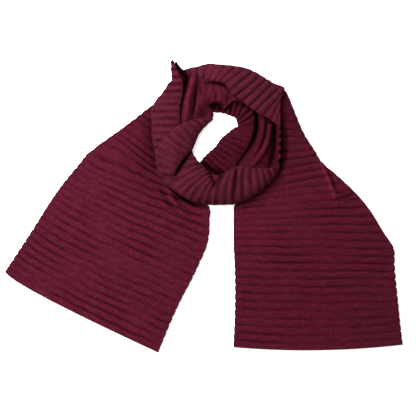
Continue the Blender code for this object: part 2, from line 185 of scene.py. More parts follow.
def fold_lift(points, folds):
    """Lift of the creases that cross the pleats, and their painted shade, from -1 for a painted
    highlight to 1.

    A crease runs out softly at both ends, and its painted shade spreads a little wider
    than its lift.
    """
    t = np.linspace(0.0, 1.0, 33)[:, None]
    lift = np.zeros(points.shape[:2])
    dark = np.zeros(points.shape[:2])
    pale = np.zeros(points.shape[:2])
    for fold in folds:
        start, middle, end = np.array(fold[:6]).reshape(3, 2) * CM
        curve = (1 - t)**2 * start + 2 * t * (1 - t) * middle + t**2 * end
        reach = np.linalg.norm(points[:, :, None, 0:2] - curve, axis=3)
        nearest = reach.argmin(axis=2)
        taper = np.sin(np.pi * np.clip(t[nearest, 0], 0.03, 0.97))**0.6
        way = np.gradient(curve, axis=0)[nearest]
        apart = points[:, :, 0:2] - curve[nearest]
        to_left = way[:, :, 0] * apart[:, :, 1] > way[:, :, 1] * apart[:, :, 0]
        width = np.where(to_left, fold.left, fold.right) * CM
        swell = taper * np.exp(-(reach.min(axis=2) / width)**2)
        lift += fold.lift * CM * swell
        # Painted shade where a fold's value is above zero, painted highlight where it is below.
        dark = np.maximum(dark, np.minimum(1.4 * swell, 1.0) * fold.dark)
        pale = np.minimum(pale, swell * fold.dark)
    return lift, dark + pale


def normals_of(points):
    """Upward normals of rows by columns of points."""
    normal = np.cross(np.gradient(points, axis=1), np.gradient(points, axis=0))
    return normal / (np.linalg.norm(normal, axis=2, keepdims=True) + 1e-12)


def knitted_sheet(name, points, u, v, depth):
    """A grid shaped to the points, with the cloth's own lengths as its UV map."""
    rows, columns = points.shape[:2]
    bpy.ops.object.select_all(action="DESELECT")
    bpy.ops.mesh.primitive_grid_add(x_subdivisions=columns - 1, y_subdivisions=rows - 1, size=2)
    piece = bpy.context.object
    piece.name = piece.data.name = name
    mesh = piece.data
    grid = np.empty(len(mesh.vertices) * 3)
    mesh.vertices.foreach_get("co", grid)
    grid = grid.reshape(-1, 3)
    column = np.rint((grid[:, 0] + 1) / 2 * (columns - 1)).astype(int)
    row = np.rint((grid[:, 1] + 1) / 2 * (rows - 1)).astype(int)
    mesh.vertices.foreach_set("co", points[row, column].ravel())
    corner = np.empty(len(mesh.loops), int)
    mesh.loops.foreach_get("vertex_index", corner)
    cloth_uv = np.stack([v[row, column], u[row, column]], axis=1)[corner]
    mesh.uv_layers[0].data.foreach_set("uv", cloth_uv.ravel())
    # Painted shade and painted highlights for the material, one value for each point.
    painted_shading = mesh.attributes.new("painted_shading", "FLOAT", "POINT")
    painted_shading.data.foreach_set("value", depth[row, column])
    mesh.update()
    return piece


def make_wall(piece):
    """Gives the sheet its wall, with thinner, softer free edges."""
    mesh = piece.data
    share = piece.vertex_groups.new(name="wall")
    bpy.context.view_layer.objects.active = piece
    piece.select_set(True)
    bpy.ops.object.mode_set(mode="EDIT")
    bpy.ops.mesh.select_mode(type="VERT")
    bpy.ops.mesh.select_all(action="SELECT")
    bpy.ops.mesh.region_to_loop()
    bpy.ops.object.mode_set(mode="OBJECT")
    on_edge = np.empty(len(mesh.vertices), bool)
    mesh.vertices.foreach_get("select", on_edge)
    share.add([int(i) for i in np.flatnonzero(~on_edge)], 1.0, "REPLACE")
    share.add([int(i) for i in np.flatnonzero(on_edge)], EDGE_WALL, "REPLACE")
    wall = piece.modifiers.new("wall", "SOLIDIFY")
    wall.thickness = KNIT_WALL
    wall.offset = 0.0
    wall.vertex_group = "wall"
    bpy.ops.object.modifier_apply(modifier="wall")
    piece.vertex_groups.clear()
    bpy.ops.object.shade_smooth()
    piece.select_set(False)


class Wire:
    """A socket of a material, with arithmetic that adds Math nodes."""

    def __init__(self, tree, socket=None):
        self.tree = tree
        self.socket = socket

    def node(self, kind, settings=None, output=0, **sockets):
        """Adds a node: its settings first, then values or wires on its sockets.

        A socket is given by its name, with _ for a space, or as n0, n1 by its number.
        """
        made = self.tree.nodes.new(kind)
        for key, value in (settings or {}).items():
            setattr(made, key, value)
        for key, value in sockets.items():
            entry = made.inputs[int(key[1:]) if key[0] == "n" else key.replace("_", " ")]
            if isinstance(value, Wire):
                self.tree.links.new(value.socket, entry)
            else:
                entry.default_value = value
        return Wire(self.tree, made.outputs[output])

    def math(self, operation, other=0.0):
        return self.node("ShaderNodeMath", {"operation": operation}, n0=self, n1=other)

    def reflected(self, operation, other):
        return self.node("ShaderNodeMath", {"operation": operation}, n0=other, n1=self)

    def __add__(self, other):
        return self.math("ADD", other)

    def __radd__(self, other):
        return self.reflected("ADD", other)

    def __sub__(self, other):
        return self.math("SUBTRACT", other)

    def __rsub__(self, other):
        return self.reflected("SUBTRACT", other)

    def __mul__(self, other):
        return self.math("MULTIPLY", other)

    def __rmul__(self, other):
        return self.reflected("MULTIPLY", other)

    def __truediv__(self, other):
        return self.math("DIVIDE", other)

    def __rtruediv__(self, other):
        return self.reflected("DIVIDE", other)


def knit_material(name, colour, heather, nap):
    """Brushed knit: rows of small V stitches, heathered yarn and a soft nap.

    The stitches follow the lengths of the cloth.  Painted shade darkens what lies in a valley,
    a crease or a shadow, and painted highlights lighten some crests.
    """
    wool = bpy.data.materials.new(name)
    wool.use_nodes = True
    tree = wool.node_tree
    surface = tree.nodes["Principled BSDF"]
    start = Wire(tree)
    lengths = start.node("ShaderNodeTexCoord", output="UV")
    place = start.node("ShaderNodeTexCoord", output="Object")

    # A stitch is a V, two slanting legs side by side, repeated along each wale.
    across = start.node("ShaderNodeSeparateXYZ", output="X", n0=lengths)
    along = start.node("ShaderNodeSeparateXYZ", output="Y", n0=lengths)
    side = ((across / WALE).math("FRACT") - 0.5).math("ABSOLUTE") * 2.0
    course = along / COURSE + side * 0.8
    turn = (course.math("FRACT") - 0.5) * 2.0
    stitch = (1.0 - turn * turn) * (side * math.pi).math("SINE")

    # Heathered yarn: fine flecks, slubs that run along the rows, mottling and wear.
    fleck = start.node("ShaderNodeTexNoise", Vector=place, Scale=520.0, Detail=3.0, Roughness=0.65)
    streaks = start.node("ShaderNodeMapping", Vector=lengths, Scale=(45.0, 340.0, 1.0))
    slub = start.node("ShaderNodeTexNoise", Vector=streaks, Scale=1.0, Detail=2.0, Roughness=0.6)
    mottle = start.node("ShaderNodeTexNoise", Vector=place, Scale=170.0, Detail=2.0, Roughness=0.6)
    wear = start.node("ShaderNodeTexNoise", Vector=place, Scale=22.0, Detail=3.0, Roughness=0.55)
    painted_shading = start.node("ShaderNodeAttribute", {"attribute_name": "painted_shading"}, output="Fac")
    tone = 1.0 + (fleck - 0.5) * heather + (mottle - 0.5) * (heather * 0.9) + (wear - 0.5) * 0.25
    tone = tone + (slub - 0.5) * (heather * 1.9)
    # Painted shade darkens the valleys, creases and shadowed hollows, and painted highlights
    # lighten where the value is below zero.
    tone = tone * (0.93 + stitch * 0.10) * (1.0 - painted_shading * 0.94)
    grey = start.node("ShaderNodeCombineXYZ", n0=tone, n1=tone, n2=tone)
    pale = tuple(c * 1.3 + 0.0008 for c in colour)
    yarn = start.node("ShaderNodeMix", {"data_type": "RGBA"}, n0=(mottle - 0.42) * 1.8,
                      n6=(*colour, 1.0), n7=(*pale, 1.0), output=2)
    dyed = start.node("ShaderNodeVectorMath", {"operation": "MULTIPLY"}, n0=yarn, n1=grey)
    tree.links.new(dyed.socket, surface.inputs["Base Color"])

    # Relief of the stitches and fibres, under a matt surface with a soft nap.
    height = stitch * 0.5 + fleck * 0.6 + mottle * 0.5
    relief = start.node("ShaderNodeBump", Strength=0.55, Distance=0.0008, Height=height)
    tree.links.new(relief.socket, surface.inputs["Normal"])
    surface.inputs["Roughness"].default_value = 0.92
    surface.inputs["Specular IOR Level"].default_value = 0.0
    surface.inputs["Sheen Weight"].default_value = nap
    surface.inputs["Sheen Roughness"].default_value = 0.45
    surface.inputs["Sheen Tint"].default_value = NAP_TINT
    return wool


def lay_stretch(name, sections, folds, press, arc, columns, scallop=(0.0, 0.0),
                until=math.inf, lean=1.0):
    """One stretch of the scarf: lofted, pleated, creased and given its wall.

    columns is the number of faces across it.  scallop is how far the pleats push edge a
    and edge b out at the crests and in at the valleys, the other way round if negative,
    up to the length `until` from the first section.  The piece keeps its flat size,
    across and along.
    """
    along, rows = read_sections(sections, ALONG)
    points = unpleated(rows, arc, columns, lean)

    # The cloth's own lengths: u along it and v across it, from its middle.
    steps = np.linalg.norm(np.diff(points, axis=1), axis=2)
    v = np.concatenate([np.zeros((len(along), 1)), np.cumsum(steps, axis=1)], axis=1)
    width = v[:, -1:].copy()
    v = v - width / 2
    u = np.repeat(along[:, None], columns + 1, axis=1)

    # The pleats soften towards both edges, and most where a rolled edge turns down.
    pleats, valley = pleat_lift(u, v, press)
    angle = np.linspace(arc[0], arc[1], columns + 1)
    above = np.minimum(angle + 10.0, 190.0 - angle)
    soft = np.clip(above / 45.0, 0.25, 1.0)

    # Creases, and billows in long and short swells.
    normal = normals_of(points)
    creases, dark = fold_lift(points, folds)
    billow = 0.0009 * uneven(u, v, 0.075, press.vary + 7)
    billow = billow + 0.0005 * uneven(u, v, 0.03, press.vary + 8)

    # Scallops of the free edges.
    outward = points[:, -1] - points[:, 0]
    outward /= np.linalg.norm(outward, axis=1, keepdims=True) + 1e-9
    for column, size in ((0, -scallop[0]), (columns, scallop[1])):
        edge = slice(column, column + 1)
        near = np.exp(-((v - v[:, edge]) / SCALLOP_REACH)**2)
        near = near * np.clip((until - u) / 0.02, 0.0, 1.0)
        swing = size * (0.5 - 1.5 * valley[:, edge]) * near
        points[:, :, 0:2] += outward[:, None, 0:2] * swing[:, :, None]

    points += normal * (pleats * soft + billow)[:, :, None]
    points[:, :, 2] += creases
    # Painted shade in the valleys and creases and under neighbouring turns, and painted highlights
    # where it goes below zero.
    deep = np.clip(VALLEY_PAINTED_SHADE * press.depth * (valley * soft) + dark, -0.5, 1.0)
    piece = knitted_sheet(name, points, u, v, deep)
    piece["flat"] = (float(np.mean(width)), float(along[-1]))
    make_wall(piece)
    return piece


def dress(piece, node, material):
    """Gives the piece its material, hangs it on the root body and hides its CAD node."""
    piece.data.materials.append(material)
    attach(piece, "root")
    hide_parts(node)


wine_knit = knit_material("wine_brushed_knit", WINE, heather=0.50, nap=0.012)

# From the hem to where the cloth runs in under the loop.
LEFT_TAIL = [
    Section(-42.0, -13.7, 0.63, -9.7, -30.9, 0.63, 0, 0, -1.0),
    Section(-36.3, -5.0, 0.63, -5.3, -20.7, 0.63, 0, 0, -1.1),
    Section(-31.2, 2.9, 0.63, -1.1, -12.4, 0.63, 0, 0, -1.0),
    Section(-28.8, 6.1, 0.63, 0.8, -7.7, 0.63, 0, 0, -1.0),
    Section(-26.2, 9.2, 0.6, 1.2, -3.3, 0.6, 0, 0, -1.1),
    Section(-24.1, 11.6, 0.58, 0.6, 0.5, 0.56, 0, 0, -1.1),
    Section(-21.6, 13.5, 0.58, -2.1, 1.7, 0.52, 0, 0, -0.6),
    Section(-17.6, 16.3, 0.56, -7.2, 8.6, 0.45, 0, 0, -0.2),
    Section(-14.2, 18.9, 0.55, -8.2, 14.5, 0.4, 0, 0, 0.0),
    Section(-10.9, 21.4, 0.42, -8.6, 19.2, 0.34, 0, 0, 0.0),
    Section(-9.1, 22.4, 0.42, -7.6, 20.2, 0.34, 0, 0, 0.0),
]
LEFT_TAIL_FOLDS = [
    # Puckers where the cloth comes out from under the rolls, with a painted highlight on the ridge
    # and painted shade in the troughs.
    Fold(-7.8, 4.8, -6.8, 0.3, -2.9, -2.9, 0.42, 0.36, 0.75, -0.2),
    Fold(-7.4, 4.1, -4.2, 1.2, -0.8, -0.2, 0.46, 0.46, -0.24, 1),
    Fold(-6.7, 3.1, -5.7, 0.7, -2.5, -1.4, 0.36, 0.3, -0.2, 0.45),
    Fold(-9.7, 5.6, -8.6, 1.4, -5.7, -1.6, 0.6, 0.45, -0.18, 0.42),
    # A soft ridge beside the left band, and the trough between them, with painted shade.
    Fold(-12.2, 20.9, -14.4, 14.9, -12.7, 6.0, 1.3, 1.3, 0.55, 0),
    Fold(-11.1, 20.0, -11.5, 14.1, -10.1, 5.6, 0.75, 0.75, -0.18, 0.55),
    # Painted shade beside the loop, and a paler patch near the hem.
    Fold(-9.9, 24.3, -13.1, 14.1, -9.7, 1.4, 2.6, 5.0, 0, 0.22),
    Fold(-30.5, -19.4, -19.9, -23.2, -10.3, -26.6, 8, 8, 0, -0.08),
    Fold(-10.3, 14.1, -10.8, 7.3, -7.2, 2.2, 1.0, 1.0, 0, 0.24),
]
left_tail = lay_stretch("left_tail_knit", LEFT_TAIL, LEFT_TAIL_FOLDS,
                        Pleats(pitch=PITCH, first=HEM, depth=0.0030, valley=0.0024,
                               uneven=0.65, stray=0.0020, vary=11),
                        arc=(12, 168), columns=130, scallop=(0.0012, 0.0011), lean=0.52)
dress(left_tail, "left_tail", wine_knit)

# Right tail.
# The other end of the strip, of the same knit, spread flat beside the first.  Its
# outer edge is tucked in beside the loop, where the cloth laps over itself in a short
# step.

# From the hem past the tuck and up the right side of the loop.
RIGHT_TAIL = [
    Section(6.3, -29.8, 0.5, 42.1, -29.3, 0.5, 0, 0, -0.9),
    Section(6.6, -20.9, 0.5, 41.2, -21.1, 0.5, 0, 0, -0.4),
    Section(6.5, -11.8, 0.5, 40.4, -12.2, 0.5, 0, 0, 0.0),
    Section(6.3, -8.2, 0.5, 40.2, -8.8, 0.5, 0, 0, 0.0),
    Section(6.3, -5.2, 0.45, 38.0, -5.3, 0.45, 0.1, 0, 0.2),
    Section(6.3, -2.0, 0.45, 34.8, -0.2, 0.45, 0.2, 0, 0.2),
    Section(6.8, 0.7, 0.45, 31.9, 3.2, 0.45, 0.3, 0, 0.3),
    Section(11.2, 3.9, 0.55, 28.2, 6.7, 0.5, 0.5, 0, 0.0),
    Section(15.1, 7.7, 0.8, 24.9, 9.5, 0.6, 0.8, 0, 0.0),
    Section(15.6, 11.1, 0.9, 23.5, 11.7, 0.6, 1.1, 0, 0.0),
    Section(15.6, 15.6, 1.0, 21.1, 15.6, 0.55, 1.1, 0, 0.0),
    Section(15.6, 19.8, 1.1, 19.2, 20.1, 0.55, 0.9, 0, 0.0),
    Section(15.4, 22.6, 1.1, 17.9, 23.3, 0.55, 0.6, 0, 0.0),
    Section(14.5, 24.1, 1.0, 17.2, 24.5, 0.6, 0.4, 0, 0.0),
    Section(13.2, 25.1, 0.9, 15.3, 25.5, 0.6, 0.2, 0, 0.0),
]
RIGHT_TAIL_FOLDS = [
    # The step of the tuck: its ridge, painted highlights on its crest and lower end, and painted
    # shade on its dark side.
    Fold(24.3, 10.7, 26.4, 6.3, 28.2, 1.6, 0.28, 1.3, 0.56, 0),
    Fold(24.2, 11.3, 26.3, 6.3, 28.1, 1.2, 0.3, 0.46, 0, -1),
    Fold(27.0, 2.1, 27.9, 1.5, 28.6, 2.3, 0.26, 0.26, 0.22, -0.5),
    Fold(25.0, 10.1, 27.2, 6.3, 28.8, 2.0, 0.24, 0.3, -0.18, 0.36),
    # Faint painted shade over the whole tail.
    Fold(24.2, -1.8, 23.8, -15.6, 24.2, -29.6, 16, 16, 0, 0.06),
    # The crease from the lower end of the tuck to the outer edge, with painted shade.
    Fold(28.0, 2.0, 30.4, 1.6, 33.1, 3.9, 0.35, 0.35, -0.15, 0.6),
    # Painted shade beside the loop.
    Fold(16.8, 17.9, 17.4, 12.2, 16.1, 7.1, 1.0, 1.2, 0, 0.64),
    Fold(17.0, 21.7, 18.3, 14.1, 17.9, 6.5, 2.4, 2.4, 0, 0.2),
    Fold(8.3, 0.3, 12.8, 2.2, 16.4, 7.3, 0.6, 0.6, 0, 0.08),
    # A shallow trough across the tail, with faint painted shade.
    Fold(20.4, -0.1, 26.8, 0.7, 33.1, -1.2, 0.9, 0.9, -0.06, 0.1),
]
right_tail = lay_stretch("right_tail_knit", RIGHT_TAIL, RIGHT_TAIL_FOLDS,
                         Pleats(pitch=PITCH, first=HEM, depth=0.0024, valley=0.0023,
                                uneven=0.60, stray=0.0018, vary=23, calm=0.14),
                         arc=(12, 168), columns=126, scallop=(0.0008, 0.0013), until=0.23)
dress(right_tail, "right_tail", wine_knit)

# Left band.
# The face of the knit comes down over the left tail from a folded corner behind the neck;
# its outer edge is rolled under and its inner edge is a fold.  Its greyer plum is partly
# the face's own colour and partly the sheen of its nap, painted in.
# Plum: the face's colour, greyer than the wine, with part of its sheen painted in.
PLUM = (0.0325, 0.0042, 0.0082)
plum_knit = knit_material("plum_brushed_knit", PLUM, heather=0.50, nap=0.012)

# From the folded corner down over the left tail.
LEFT_BAND = [
    Section(-6.7, 31.0, 2.0, -6.5, 30.9, 2.1, 0, 0.2, 0.0),
    Section(-6.8, 30.2, 2.1, -6.2, 30.3, 2.5, 0.1, 1.0, 0.0),
    Section(-6.8, 29.1, 2.1, -5.7, 29.2, 2.8, 0.2, 1.6, 0.0),
    Section(-6.8, 27.9, 2.1, -5.2, 28.1, 3.0, 0.3, 1.9, 0.0),
    Section(-6.7, 26.9, 2.0, -4.7, 27.0, 3.0, 0.4, 1.9, 0.0),
    Section(-7.7, 25.5, 1.8, -4.4, 25.7, 2.8, 0.6, 1.8, 0.0),
    Section(-8.7, 24.0, 1.6, -4.4, 24.2, 2.6, 0.8, 1.5, 0.0),
    Section(-10.0, 22.5, 1.3, -4.7, 22.6, 2.4, 0.9, 1.0, 0.0),
    Section(-10.8, 20.9, 1.1, -5.0, 20.9, 2.2, 1.1, 0.6, 0.0),
    Section(-10.9, 17.5, 1.05, -5.1, 17.6, 2.0, 1.2, 0.6, 0.0),
    Section(-10.8, 14.5, 1.05, -5.6, 14.5, 1.7, 1.1, 0.45, 0.0),
    Section(-10.4, 12.0, 1.0, -7.2, 12.2, 1.3, 0.6, 0.4, 0.0),
    Section(-10.1, 10.1, 0.95, -7.8, 10.5, 1.0, 0.2, 0.3, 0.0),
]
LEFT_BAND_FOLDS = [
    # Painted shade on the shaded side of the folded corner.
    Fold(-6.4, 31.1, -5.2, 29.8, -4.2, 27.3, 0.55, 0.55, 0, 1),
    Fold(-7.3, 31.3, -6.5, 30.8, -5.5, 30.2, 0.32, 0.32, 0, 0.9),
]
left_band = lay_stretch("left_band_knit", LEFT_BAND, LEFT_BAND_FOLDS,
                        Pleats(pitch=0.0153, first=0.006, depth=0.0032, valley=0.0023,
                               uneven=0.85, stray=0.0018, vary=37),
                        arc=(-60, 155), columns=60)
dress(left_band, "left_band", plum_knit)

# Left roll.
# The same plum turn of knit, rolled over on itself and laid across the band and the
# end of the front roll.

# From the end of the front roll up and round to the back of the opening.
LEFT_ROLL = [
    Section(-7.9, 4.7, 0.9, -6.8, 5.3, 1.2, 0.1, 0.1, 0.0),
    Section(-8.6, 5.6, 1.0, -6.3, 5.8, 1.9, 0.5, 0.3, 0.0),
    Section(-9.5, 7.1, 1.1, -6.1, 6.7, 2.4, 1.2, 0.7, 0.0),
    Section(-10.0, 9.0, 1.1, -5.7, 7.7, 2.6, 1.5, 0.8, 0.0),
    Section(-10.1, 11.6, 1.4, -5.0, 9.0, 2.5, 1.7, 0.9, 0.0),
    Section(-9.2, 13.7, 1.9, -4.0, 10.4, 2.3, 1.6, 1.0, 0.0),
    Section(-7.5, 15.3, 2.4, -2.6, 11.8, 2.0, 1.4, 1.0, 0.0),
    Section(-5.5, 16.9, 2.7, -1.9, 13.4, 1.8, 1.2, 0.9, 0.0),
    Section(-3.7, 17.8, 2.6, -1.1, 15.2, 1.6, 1.0, 0.8, 0.0),
    Section(-2.0, 18.3, 2.3, -0.2, 16.4, 1.5, 0.7, 0.7, 0.0),
    Section(-0.2, 18.5, 2.0, 0.9, 17.5, 1.4, 0.4, 0.6, 0.0),
    Section(1.5, 18.7, 1.6, 2.0, 18.5, 1.4, 0.1, 0.4, 0.0),
]
LEFT_ROLL_FOLDS = [
    # Faint painted shade over the whole roll.
    Fold(-9.7, 6.0, -7.2, 12.8, 0.9, 18.3, 3.2, 3.2, 0, 0.09),
]
left_roll = lay_stretch("left_roll_knit", LEFT_ROLL, LEFT_ROLL_FOLDS,
                        Pleats(pitch=0.0150, first=0.004, depth=0.0022, valley=0.0026,
                               uneven=0.9, stray=0.0014, vary=41),
                        arc=(-30, 205), columns=70)
dress(left_roll, "left_roll", plum_knit)

# Front roll.
# The turn that crosses both tails at the throat: a soft roll of plum knit whose pleats
# fan out, pinched by one short crease near the neck opening.

# From the right side of the loop across both tails to the left roll.
FRONT_ROLL = [
    Section(15.2, 8.3, 2.4, 15.8, 7.5, 2.2, 0.1, 0.3, 0.0),
    Section(14.0, 8.0, 2.9, 14.8, 6.0, 1.9, 0.7, 0.8, 0.0),
    Section(12.3, 7.9, 3.2, 13.0, 4.2, 1.8, 1.3, 1.2, 0.0),
    Section(10.4, 8.1, 3.4, 10.9, 2.5, 1.8, 1.7, 1.5, 0.0),
    Section(8.7, 8.5, 3.5, 8.5, 1.3, 1.8, 2.0, 1.6, -0.3),
    Section(7.3, 8.5, 3.5, 6.3, 0.5, 1.8, 2.1, 1.7, -0.6),
    Section(5.9, 8.0, 3.4, 4.0, 0.4, 1.8, 2.1, 1.7, -0.8),
    Section(4.5, 7.1, 3.3, 1.5, 0.4, 1.8, 2.0, 1.6, -1.0),
    Section(3.2, 6.5, 3.2, -0.8, 0.7, 2.1, 1.9, 1.6, -0.8),
    Section(2.0, 6.6, 3.0, -2.9, 1.4, 2.2, 1.8, 1.6, -0.6),
    Section(1.0, 7.3, 2.7, -4.8, 2.4, 2.1, 1.7, 1.5, -0.3),
    Section(0.2, 8.0, 2.4, -6.6, 3.7, 1.8, 1.7, 1.2, 0.0),
    Section(-0.4, 8.7, 2.1, -8.1, 4.9, 1.2, 1.7, 0.8, 0.0),
    Section(-0.9, 9.1, 1.9, -9.1, 6.3, 1.1, 1.5, 0.6, 0.0),
    Section(-1.6, 9.9, 1.7, -9.3, 7.8, 1.1, 1.0, 0.4, 0.0),
    Section(-2.2, 10.9, 1.5, -8.2, 9.2, 1.1, 0.6, 0.3, 0.0),
    Section(-2.6, 12.0, 1.4, -6.7, 9.9, 1.1, 0.4, 0.2, 0.0),
]
FRONT_ROLL_FOLDS = [
    # The pinch near the opening: its wide side, then its line, both with painted shade.
    Fold(0.7, 8.5, 1.6, 6.1, 2.8, 3.9, 0.14, 0.6, -0.45, 0.25),
    Fold(0.7, 8.5, 1.6, 6.1, 2.8, 3.9, 0.24, 0.2, -0.55, 1),
    # Two lesser creases beside it, with painted shade.
    Fold(4.3, 7.3, 3.3, 6.1, 2.3, 4.1, 0.3, 0.22, -0.22, 0.65),
    Fold(6.6, 8.6, 7.3, 5.6, 6.2, 2.0, 0.4, 0.4, -0.2, 0.45),
    # A painted highlight on the side towards the right tail.
    Fold(5.1, 2.2, 9.8, 3.9, 15.3, 7.3, 1.9, 1.9, 0, -0.34),
    # The hollow where it goes in under the left roll, with painted shade.
    Fold(-2.8, 12.0, -4.7, 8.8, -6.6, 5.8, 0.55, 0.55, -1.1, 1),
]
front_roll = lay_stretch("front_roll_knit", FRONT_ROLL, FRONT_ROLL_FOLDS,
                         Pleats(pitch=0.0148, first=0.007, depth=0.0032, valley=0.0025,
                                uneven=0.8, stray=0.0016, vary=53),
                         arc=(-60, 235), columns=100)
dress(front_roll, "front_roll", plum_knit)

# Top band.
# The outer turn behind the neck: plum knit folded over on itself, with slanting pleats
# and a scalloped free edge towards the opening.

# From behind the neck round to the right side of the loop.
TOP_BAND = [
    Section(-4.0, 28.9, 1.6, -3.2, 27.8, 1.3, 0.2, 1.4, 0.0),
    Section(-3.0, 29.2, 1.8, -2.2, 27.1, 1.4, 0.6, 1.7, 0.0),
    Section(-1.3, 29.5, 1.9, -1.1, 26.6, 1.6, 0.9, 1.8, 0.0),
    Section(0.8, 30.1, 1.9, -0.1, 26.4, 2.1, 1.1, 1.9, 0.0),
    Section(3.3, 30.0, 1.9, 1.3, 26.3, 3.3, 1.2, 1.9, 0.0),
    Section(5.9, 29.8, 1.9, 2.9, 26.3, 3.6, 1.3, 1.9, 0.0),
    Section(8.3, 29.4, 2.0, 4.3, 25.9, 3.6, 1.3, 1.9, 0.0),
    Section(10.7, 28.4, 2.0, 5.6, 24.1, 3.7, 1.3, 1.9, 0.0),
    Section(12.9, 27.1, 2.0, 7.7, 22.4, 3.8, 1.3, 1.9, 0.0),
    Section(14.8, 25.9, 2.2, 9.8, 20.7, 3.8, 1.2, 2.1, 0.0),
    Section(17.0, 24.7, 2.6, 12.0, 19.4, 3.8, 0.9, 2.1, 0.0),
    Section(16.3, 23.0, 3.1, 13.6, 18.6, 3.8, 0.4, 2.0, 0.0),
    Section(16.1, 20.7, 3.4, 15.0, 17.5, 3.8, 0.2, 2.1, 0.0),
    Section(16.1, 18.6, 3.5, 15.8, 16.8, 3.8, 0.1, 2.0, 0.0),
    Section(16.1, 17.3, 3.6, 16.1, 16.3, 3.7, 0, 1.4, 0.0),
]
TOP_BAND_FOLDS = [
    # Painted shade at its left end, and a faint painted shade over its right side.
    Fold(-2.5, 27.9, -0.2, 26.8, 2.4, 26.2, 0.36, 0.36, 0, 0.3),
    Fold(12.3, 26.4, 13.2, 22.6, 12.3, 18.8, 3.0, 3.0, 0, 0.09),
]
top_band = lay_stretch("top_band_knit", TOP_BAND, TOP_BAND_FOLDS,
                       Pleats(pitch=0.0165, first=0.006, depth=0.0034, valley=0.0024,
                              uneven=0.5, stray=0.0014, vary=61, calm=0.06),
                       arc=(-60, 150), columns=80, scallop=(0.0, -0.0005))
dress(top_band, "top_band", plum_knit)

# Standing edge.
# The selvedge of the knit below, which stands up between the loop and the right tail
# and shows its pleats end on, as a zigzag.  The inner turns are the wine painted darker
# for the shade inside the loop.
# A darker copy of the wine: painted shade for the turns inside the loop.
SHADED_WINE = (0.0225, 0.0020, 0.0052)
shaded_wine_knit = knit_material("shaded_wine_brushed_knit", SHADED_WINE, heather=0.50, nap=0.008)

# From the top band to the front roll.
STANDING_EDGE = [
    Section(15.4, 17.5, 1.5, 16.0, 17.2, 3.2, 0, 0, 0.0),
    Section(15.4, 14.9, 1.3, 16.1, 14.9, 3.4, 0, 0, 0.0),
    Section(15.4, 12.4, 1.3, 16.1, 12.4, 3.4, 0, 0, 0.0),
    Section(15.4, 10.3, 1.4, 16.1, 10.2, 3.3, 0, 0, 0.0),
    Section(15.2, 8.6, 1.7, 15.7, 7.8, 3.0, 0, 0, 0.0),
]
STANDING_EDGE_FOLDS = [
    # Painted highlights, most of all along the top.
    Fold(15.7, 18.8, 15.8, 12.8, 15.5, 6.9, 1.3, 1.3, 0, -0.12),
    Fold(16.1, 17.9, 16.2, 12.4, 15.8, 7.3, 0.2, 0.2, 0, -0.6),
]
standing_edge = lay_stretch("standing_edge_knit", STANDING_EDGE, STANDING_EDGE_FOLDS,
                            Pleats(pitch=0.0172, first=0.008, depth=0.0026, valley=0.0040,
                                   uneven=0.5, stray=0.0016, vary=67),
                            arc=(80, 100), columns=12, scallop=(0.0, 0.0050))
dress(standing_edge, "standing_edge", shaded_wine_knit)

# Right folds.
# The reverse of an inner turn of knit, lying in two long soft ridges inside the loop,
# with its pleats almost pressed out.

# From behind the opening to the front roll.
RIGHT_FOLDS = [
    Section(10.3, 21.7, 0.35, 15.3, 20.5, 0.9, 0.1, 0, 0.0),
    Section(10.4, 19.2, 0.3, 16.0, 18.1, 0.6, 0.1, 0, 0.0),
    Section(9.9, 16.2, 0.3, 16.0, 15.2, 0.55, 0.1, 0, 0.0),
    Section(9.2, 13.9, 0.35, 16.0, 12.4, 0.55, 0.1, 0, 0.0),
    Section(7.9, 11.6, 0.85, 16.0, 9.9, 0.55, 0.1, 0, 0.0),
    Section(6.5, 9.6, 0.8, 15.2, 7.5, 0.65, 0.1, 0, 0.0),
    Section(5.8, 8.2, 0.3, 13.2, 5.6, 0.6, 0.1, 0, 0.0),
]
RIGHT_FOLDS_FOLDS = [
    # The two long ridges, with painted highlights on them, strongest on the front of the outer
    # one.
    Fold(12.0, 22.2, 14.2, 13.9, 8.3, 8.2, 0.66, 0.66, 1.25, -0.12),
    Fold(13.7, 20.0, 15.5, 12.8, 8.7, 7.3, 0.6, 0.6, 1.15, -0.16),
    Fold(13.4, 14.5, 13.0, 10.9, 8.7, 7.7, 0.9, 0.8, 0, -0.9),
    # Painted shade in the troughs beside them and at their ends.
    Fold(13.0, 20.9, 14.0, 14.3, 10.8, 10.9, 0.26, 0.26, -0.2, 0.78),
    Fold(12.9, 19.6, 13.5, 18.3, 14.3, 17.3, 0.45, 0.45, 0, 0.75),
    Fold(14.9, 20.5, 15.8, 13.7, 13.4, 6.9, 0.62, 0.8, -0.2, 0.92),
    Fold(10.2, 21.7, 12.4, 16.4, 9.5, 13.0, 0.45, 0.5, -0.1, 1),
    # A painted highlight beside the front roll.
    Fold(7.3, 8.0, 9.8, 8.6, 12.3, 7.5, 0.6, 0.6, 0, -0.3),
]
right_folds = lay_stretch("right_folds_knit", RIGHT_FOLDS, RIGHT_FOLDS_FOLDS,
                          Pleats(pitch=0.0160, first=0.006, depth=0.0007, valley=0.0028,
                                 uneven=0.8, stray=0.0016, vary=71),
                          arc=(10, 170), columns=60)
dress(right_folds, "right_folds", shaded_wine_knit)

# Right roll.
# The inner turn that borders the neck opening: knit rolled over on itself, with close
# pleats round its bend.

